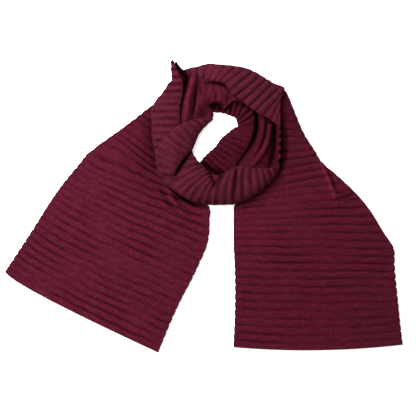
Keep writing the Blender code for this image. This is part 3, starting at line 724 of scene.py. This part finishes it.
# From the back of the opening round its right side to the front.
RIGHT_ROLL = [
    Section(0.4, 22.6, 0.7, 1.0, 20.3, 0.55, 0.1, 0.2, 0.0),
    Section(2.1, 22.6, 0.8, 2.3, 20.0, 0.6, 0.2, 0.3, 0.0),
    Section(4.0, 22.8, 0.95, 4.0, 19.8, 0.7, 0.3, 0.4, 0.0),
    Section(6.1, 23.0, 1.15, 5.6, 19.2, 0.8, 0.5, 0.5, 0.0),
    Section(8.5, 22.7, 1.4, 6.7, 18.7, 0.9, 0.7, 0.6, 0.0),
    Section(10.2, 20.9, 1.65, 7.0, 17.9, 1.0, 0.8, 0.7, 0.0),
    Section(10.8, 18.6, 1.8, 7.2, 16.9, 1.05, 0.8, 0.8, 0.0),
    Section(10.6, 16.2, 1.8, 6.5, 16.6, 1.1, 0.8, 0.8, 0.0),
    Section(9.9, 13.9, 1.75, 5.1, 15.5, 1.1, 0.8, 0.8, 0.0),
    Section(8.8, 11.8, 1.55, 3.7, 14.3, 1.0, 0.8, 0.8, 0.0),
    Section(7.4, 9.6, 1.35, 2.5, 12.7, 1.0, 0.7, 0.7, 0.0),
    Section(6.1, 7.6, 1.1, 1.2, 11.5, 0.9, 0.6, 0.6, 0.0),
    Section(4.4, 6.4, 0.9, 0.0, 10.4, 0.75, 0.4, 0.4, 0.0),
    Section(2.3, 5.4, 0.6, -1.3, 8.6, 0.6, 0.2, 0.3, 0.0),
]
RIGHT_ROLL_FOLDS = [
    # Painted shade at its back end, along its outer side and at the front.
    Fold(-1.6, 22.8, 1.7, 21.0, 4.7, 21.0, 0.95, 0.9, -0.45, 0.76),
    Fold(3.2, 20.7, 4.9, 20.6, 6.4, 21.2, 0.5, 0.45, 0, 0.7),
    Fold(1.7, 22.4, 6.8, 23.2, 11.3, 19.8, 0.6, 0.6, 0, 0.6),
    Fold(-2.3, 10.3, 1.7, 7.3, 6.2, 6.0, 0.7, 0.7, -0.35, 0.72),
]
right_roll = lay_stretch("right_roll_knit", RIGHT_ROLL, RIGHT_ROLL_FOLDS,
                         Pleats(pitch=0.0118, first=0.004, depth=0.0038, valley=0.0022,
                                uneven=0.8, stray=0.0012, vary=83),
                         arc=(-30, 225), columns=70)
dress(right_roll, "right_roll", shaded_wine_knit)

# Back layer.
# The wine reverse of the knit behind the neck, smooth, with a standing fold on the
# left and softer folds towards the opening.

# From the right side, behind the neck to the left and down beside the band.
BACK_LAYER = [
    Section(13.6, 24.1, 2.4, 12.3, 20.0, 2.3, 0.1, 0.5, 0.0),
    Section(11.7, 25.9, 2.5, 10.0, 21.2, 2.3, 0.1, 0.7, 0.0),
    Section(9.2, 27.3, 2.6, 7.8, 22.2, 2.2, 0.1, 0.8, 0.0),
    Section(7.3, 28.2, 2.6, 6.1, 22.2, 2.1, 0.1, 0.9, 0.0),
    Section(5.8, 28.6, 2.6, 5.2, 21.4, 2.0, 0.1, 0.9, 0.0),
    Section(4.4, 28.8, 2.6, 4.4, 20.6, 1.9, 0.1, 0.9, 0.0),
    Section(3.0, 28.9, 2.5, 3.7, 21.3, 1.9, 0.1, 0.9, 0.0),
    Section(1.6, 28.9, 2.4, 2.4, 21.9, 1.8, 0.1, 0.9, 0.0),
    Section(0.4, 28.9, 2.2, 1.4, 21.6, 1.6, 0.1, 0.8, 0.0),
    Section(-0.8, 28.8, 1.9, 1.4, 20.5, 1.4, 0.1, 0.7, 0.0),
    Section(-2.1, 28.8, 1.3, 2.0, 19.7, 1.3, 0.1, 0.5, 0.0),
    Section(-3.3, 28.8, 0.9, 1.9, 18.7, 1.3, 0.1, 0.4, 0.0),
    Section(-4.5, 29.0, 0.8, 0.5, 18.0, 1.1, 0.1, 0.3, 0.0),
    Section(-5.2, 29.7, 0.9, -0.9, 17.3, 0.9, 0.1, 0.2, 0.0),
    Section(-5.9, 30.6, 1.2, -1.9, 16.6, 0.8, 0, 0.2, 0.0),
    Section(-6.1, 27.9, 0.6, -2.7, 16.2, 0.7, 0, 0.2, 0.0),
    Section(-5.7, 23.6, 0.8, -3.3, 15.8, 0.7, 0.1, 0.2, 0.0),
    Section(-5.5, 20.0, 1.1, -3.8, 15.4, 0.7, 0.1, 0.2, 0.0),
    Section(-5.4, 17.5, 1.1, -4.1, 15.2, 0.7, 0.1, 0.2, 0.0),
]
BACK_LAYER_FOLDS = [
    # The standing fold with painted highlights on its crest, and the valleys on its right, with
    # painted shade.
    Fold(-2.0, 29.8, -3.3, 23.6, -4.1, 16.4, 0.85, 1.0, 1.35, -0.22),
    Fold(-2.0, 28.7, -2.3, 26.2, -2.9, 23.6, 0.5, 0.5, 0, -0.9),
    Fold(-1.3, 27.2, -1.6, 23.2, -2.6, 17.9, 0.38, 0.38, -0.45, 0.9),
    Fold(-1.5, 27.7, -0.7, 26.0, -0.5, 23.2, 0.3, 0.34, -0.15, 0.55),
    # Painted shade between the standing fold and the folded corner.
    Fold(-3.0, 29.8, -3.4, 26.8, -4.5, 22.8, 0.7, 0.7, -0.2, 1),
    Fold(-5.5, 29.1, -4.2, 27.5, -2.5, 26.9, 0.32, 0.34, 0, 1),
    Fold(-6.5, 30.1, -4.2, 28.7, -1.6, 27.3, 0.5, 0.5, -0.1, 1),
    Fold(-6.5, 30.8, -5.4, 29.8, -3.6, 28.5, 0.6, 0.6, 0, 1),
    # Softer folds towards the opening, with painted shade in and between them and a faint painted
    # highlight on one.
    Fold(-0.6, 27.7, 0.1, 23.4, -1.2, 19.4, 0.5, 0.5, 0.3, 0.12),
    Fold(-2.1, 27.7, -0.4, 26.7, 1.3, 26.0, 0.5, 0.5, 0.45, 0),
    Fold(0.5, 25.7, 1.4, 26.6, 2.4, 25.7, 0.32, 0.32, -0.12, 0.65),
    Fold(2.8, 25.1, 3.7, 23.0, 4.3, 20.9, 0.7, 0.7, 0.55, 0),
    Fold(0.8, 25.5, 1.4, 23.4, 1.7, 21.7, 0.5, 0.5, -0.16, 0.25),
    Fold(0.5, 26.8, 1.7, 24.3, 0.1, 20.0, 2.2, 2.2, 0, 0.18),
    Fold(0.5, 19.6, 2.0, 23.4, 4.7, 20.9, 0.45, 0.45, 0, 0.8),
    Fold(1.6, 23.0, 0.6, 20.7, -1.6, 18.3, 1.1, 1.3, 0, 0.62),
    Fold(1.9, 21.7, 2.1, 20.2, 1.5, 18.3, 0.6, 0.6, 0, 0.6),
    Fold(-4.6, 17.3, -1.6, 19.1, 1.5, 19.5, 0.5, 0.5, -0.1, 0.5),
    Fold(5.5, 25.1, 5.8, 23.6, 5.4, 21.9, 0.6, 0.6, -0.22, 0.3),
    Fold(0.1, 25.9, 5.4, 26.9, 7.9, 21.5, 0.45, 0.45, 0, 0.85),
    Fold(2.6, 24.7, 2.7, 23.4, 2.3, 22.0, 0.34, 0.34, -0.2, 0.6),
    Fold(0.9, 25.5, 1.5, 24.3, 1.3, 23.0, 0.5, 0.5, 0.12, -0.14),
    Fold(4.8, 24.3, 5.1, 23.0, 4.9, 21.7, 0.35, 0.35, -0.1, 0.4),
]
back_layer = lay_stretch("back_layer_knit", BACK_LAYER, BACK_LAYER_FOLDS,
                         Pleats(pitch=PITCH, first=0.006, depth=0.0006, valley=0.0028,
                                uneven=0.8, stray=0.0016, vary=97),
                         arc=(-40, 120), columns=90)
dress(back_layer, "back_layer", wine_knit)

# Inner layers.
# The wound knit inside the loop that hardly shows: one soft ring of layers, flat where
# it rests on the table.

# One place round the ring: direction in degrees, inner and outer radius and height in
# centimetres.
Place = namedtuple("Place", "angle inner outer height")


def wind_ring(name, places, centre, pleats):
    """A closed soft ring through its places, with pleats across it and a flat underside."""
    table = np.array(places, float)
    turn = np.arange(360.0)
    sizes = [np.interp(turn, table[:, 0], table[:, k], period=360.0) * CM for k in (1, 2, 3)]
    blur = np.ones(9) / 9
    inner, outer, height = (np.convolve(np.tile(s, 3), blur, "same")[360:720] for s in sizes)
    side = np.radians(np.arange(0.0, 360.0, 9.0))
    wave = 1.0 - 0.05 * np.cos(np.radians(turn) * pleats)
    radius = (inner + outer)[:, None] / 2 + np.outer((outer - inner) / 2 * wave, np.cos(side))
    level = np.clip(height[:, None] * wave[:, None] * (0.5 + 0.54 * np.sin(side)), 0.0003, None)
    ring = bmesh.new()
    loops = []
    for row, angle in enumerate(np.radians(turn)):
        loops.append([ring.verts.new((centre[0] * CM + radius[row, k] * math.cos(angle),
                                      centre[1] * CM + radius[row, k] * math.sin(angle),
                                      level[row, k])) for k in range(len(side))])
    for here, there in zip(loops, loops[1:] + loops[:1]):
        for k in range(len(side)):
            after = (k + 1) % len(side)
            ring.faces.new((here[k], there[k], there[after], here[after]))
    bmesh.ops.recalc_face_normals(ring, faces=ring.faces)
    mesh = bpy.data.meshes.new(name)
    ring.to_mesh(mesh)
    ring.free()
    mesh.attributes.new("painted_shading", "FLOAT", "POINT")
    mesh.uv_layers.new(name="UVMap")
    mesh.shade_smooth()
    piece = bpy.data.objects.new(name, mesh)
    bpy.context.collection.objects.link(piece)
    return piece


RING_CENTRE = (3.2, 14.1)
RING = [
    Place(0, 8.9, 10.8, 0.62),
    Place(18, 9.3, 11.0, 0.5),
    Place(32, 11.4, 13.6, 0.6),
    Place(42, 11.4, 15.3, 0.9),
    Place(55, 10.6, 14.4, 1.1),
    Place(70, 10.0, 13.6, 1.2),
    Place(90, 9.5, 13.6, 1.0),
    Place(112, 9.5, 15.7, 0.5),
    Place(120, 9.3, 16.3, 0.4),
    Place(132, 8.9, 12.7, 0.4),
    Place(155, 8.1, 10.6, 0.5),
    Place(180, 7.8, 10.4, 0.9),
    Place(210, 8.3, 10.6, 1.13),
    Place(235, 8.9, 11.4, 1.3),
    Place(262, 9.1, 11.9, 2.3),
    Place(282, 9.3, 11.9, 1.6),
    Place(305, 9.8, 11.4, 0.7),
    Place(330, 8.9, 10.6, 0.5),
]
inner_layers = wind_ring("inner_layers_knit", RING, RING_CENTRE, pleats=34)
inner_layers["flat"] = (0.60, 0.034)
dress(inner_layers, "hidden_layers", shaded_wine_knit)

# The table and the studio.
# A white table top that glows faintly, a broad soft light from above and an even glow
# from all round; the camera looks straight down.
bpy.ops.object.select_all(action="DESELECT")
bpy.ops.mesh.primitive_plane_add(size=6.0, location=(0.0, 0.0, 0.0))
table_top = bpy.context.object
table_top.name = "table_top"
bpy.ops.object.mode_set(mode="EDIT")
bpy.ops.mesh.select_all(action="SELECT")
bpy.ops.mesh.subdivide(number_cuts=3)
bpy.ops.object.mode_set(mode="OBJECT")
white = bpy.data.materials.new("white_table")
white.use_nodes = True
coat = white.node_tree.nodes["Principled BSDF"].inputs
coat["Base Color"].default_value = (0.86, 0.86, 0.875, 1.0)
coat["Roughness"].default_value = 0.9
coat["Emission Color"].default_value = (1.0, 1.0, 1.0, 1.0)
coat["Emission Strength"].default_value = 0.45
table_top.data.materials.append(white)

glow = bpy.data.worlds.new("studio_glow")
bpy.context.scene.world = glow
glow.use_nodes = True
sky = glow.node_tree.nodes["Background"].inputs
sky["Color"].default_value = (1.0, 1.0, 1.0, 1.0)
sky["Strength"].default_value = 0.85

LAMP_PLACE = (-0.66, 0.55, 1.20)
bpy.ops.object.light_add(type="AREA", location=LAMP_PLACE)
lamp = bpy.context.object
lamp.name = "soft_key"
lamp.data.size = 0.9
lamp.data.energy = 84.0
lamp.rotation_euler = (-Vector(LAMP_PLACE)).to_track_quat("-Z", "Y").to_euler()

CAMERA_HEIGHT = 5.0
HALF_VIEW = 0.44096        # half the width of table that the camera takes in
SENSOR = 36.0              # millimetres
bpy.ops.object.camera_add(location=(0.009, -0.0032, CAMERA_HEIGHT), rotation=(0.0, 0.0, 0.0))
camera = bpy.context.object
camera.data.sensor_width = SENSOR
camera.data.lens = SENSOR / 2 * CAMERA_HEIGHT / HALF_VIEW
bpy.context.scene.camera = camera
bpy.context.scene.view_settings.view_transform = "Standard"
